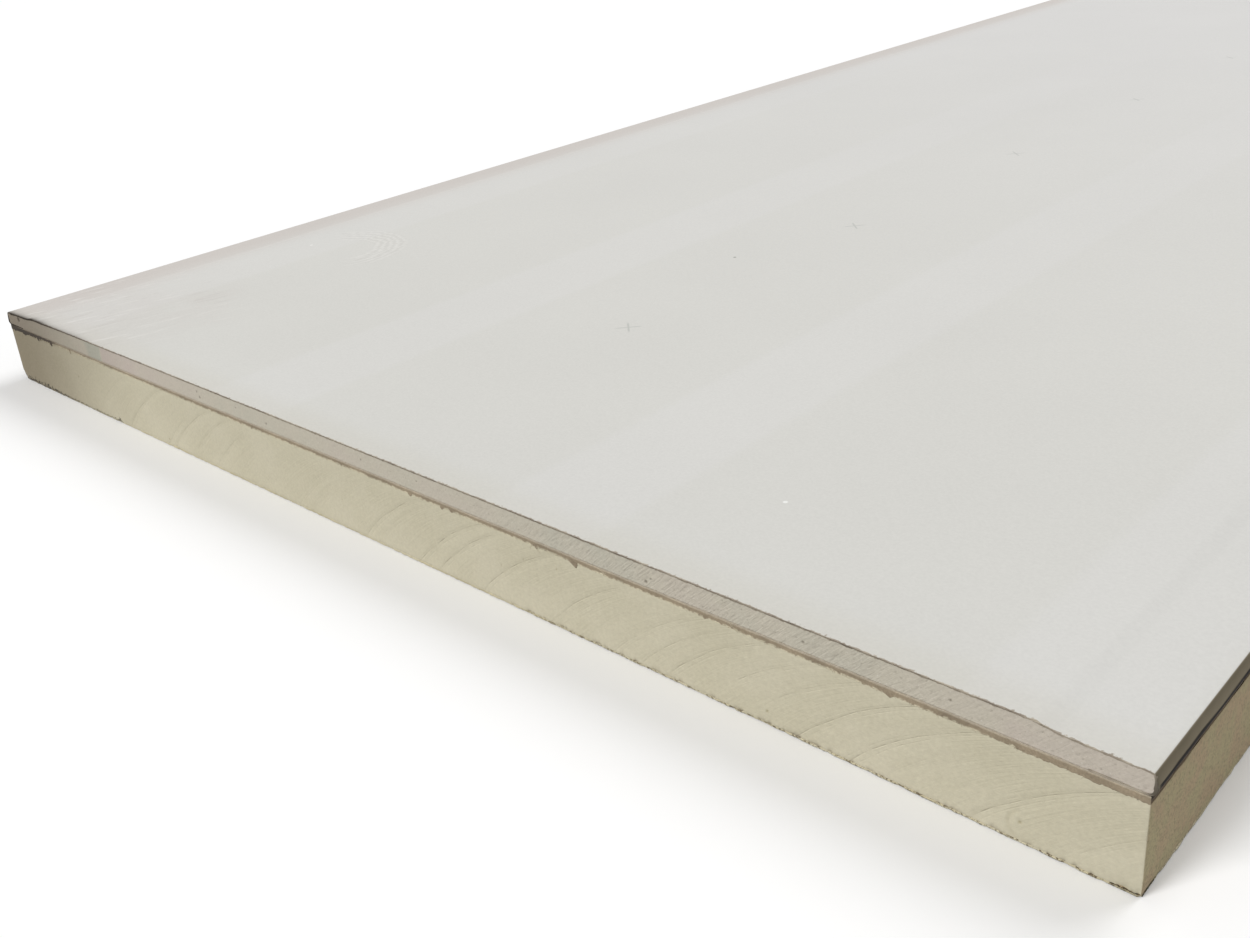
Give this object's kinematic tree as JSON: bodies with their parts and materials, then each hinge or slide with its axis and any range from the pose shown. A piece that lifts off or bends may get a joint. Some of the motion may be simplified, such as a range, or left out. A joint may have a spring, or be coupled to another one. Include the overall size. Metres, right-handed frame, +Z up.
{
  "type": "insulated drywall sheet",
  "caption": "Flat rectangular insulated drywall sheet: a tapered-edge, paper-bound gypsum board bonded to a thick rigid foam board, for lining walls and ceilings.",
  "frame": {"origin": "centre of the sheet's underside", "axes": "+Y along the sheet's length, +X across its width, +Z up out of the face paper"},
  "size_m": [0.9, 2.4, 0.0575],
  "materials": {
    "face_paper": "matte, fine fibrous grain",
    "gypsum": "sawn, chalky, finely pored",
    "back_paper": "matte, fibrous",
    "facer": "matte, torn fibres along the cut",
    "foam": "sawn rigid foam, fine cells",
    "lower_facer": "matte, thin"
  },
  "bodies": {
    "root": {"face_paper": "face_paper", "gypsum_core": "gypsum", "back_paper": "back_paper", "upper_facer": "facer", "foam_core": "foam", "lower_facer": "lower_facer"}
  },
  "joints": []
}
